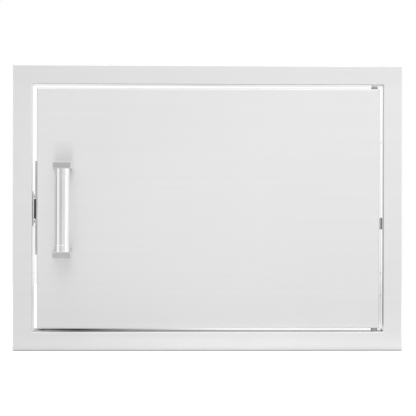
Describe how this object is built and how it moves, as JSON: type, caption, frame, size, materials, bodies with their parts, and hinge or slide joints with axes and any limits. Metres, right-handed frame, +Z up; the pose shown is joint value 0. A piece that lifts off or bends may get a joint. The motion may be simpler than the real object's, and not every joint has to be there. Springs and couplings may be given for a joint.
{
  "type": "outdoor kitchen access door",
  "caption": "Stainless access door for an island cut-out: folded frame, flush double-skinned door on hidden pins, bar handle and magnetic catch.",
  "frame": {"origin": "on the wall's face, in the middle of the seat that the frame's bottom rail makes there", "axes": "+X to the hinge side, seen from the front; +Y into the island, so the front faces -Y; +Z up"},
  "size_m": [0.6668, 0.1157, 0.489],
  "materials": {
    "frame_steel": "satin, brushed along each rail",
    "door_steel": "satin, brushed left to right",
    "liner_steel": "mill finish",
    "post_steel": "satin, cast and tumbled",
    "polished_bar": "polished",
    "hinge_steel": "machined",
    "spring_steel": "drawn wire",
    "plated_steel": "zinc plated",
    "rivet_steel": "bright",
    "grey_nylon": "matt",
    "white_nylon": "matt",
    "black_plastic": "moulded",
    "plug_plastic": "moulded",
    "ferrite": "sintered"
  },
  "bodies": {
    "frame": {"frame_top_rail": "frame_steel", "frame_bottom_rail": "frame_steel", "frame_latch_stile": "frame_steel", "frame_hinge_stile": "frame_steel", "lower_hinge_plate": "hinge_steel", "upper_hinge_plate": "hinge_steel", "lower_hinge_pin": "hinge_steel", "lower_hinge_washer": "grey_nylon", "upper_pin_bush": "white_nylon", "catch_bracket": "liner_steel", "bracket_rivets": "rivet_steel", "magnet_catch_housing": "black_plastic", "magnet_block": "ferrite", "magnet_pole_plates": "plated_steel", "catch_screws": "plated_steel", "catch_nuts": "plated_steel", "jamb_blanking_plug": "plug_plastic"},
    "door": {"door_outer_skin": "door_steel", "door_inner_liner": "liner_steel", "door_stiffener_left": "liner_steel", "door_stiffener_right": "liner_steel", "lower_hinge_block": "hinge_steel", "upper_hinge_bracket": "hinge_steel", "upper_hinge_washer": "grey_nylon", "hinge_pin_spring": "spring_steel", "handle_post_upper": "post_steel", "handle_post_lower": "post_steel", "handle_bar": "polished_bar", "handle_ferrule_upper": "polished_bar", "handle_ferrule_lower": "polished_bar", "handle_backing_plate": "liner_steel", "handle_screws": "plated_steel", "strike_plate": "plated_steel", "strike_rivets": "rivet_steel"},
    "upper_pin": {"upper_hinge_pin": "hinge_steel", "pin_collar": "hinge_steel"}
  },
  "joints": [
    {"name": "door_hinge", "type": "hinge", "parent": "frame", "child": "door", "pos_m": [0.28637, -0.001, 0.24047], "axis": [0, 0, 1], "range_deg": [0, 110]},
    {"name": "upper_pin_slide", "type": "slide", "parent": "door", "child": "upper_pin", "axis": [0, 0, 1], "range_m": [-0.008, 0], "stiffness_N_per_m": 800, "springref_m": 0.008, "deforming": ["hinge_pin_spring"]}
  ]
}
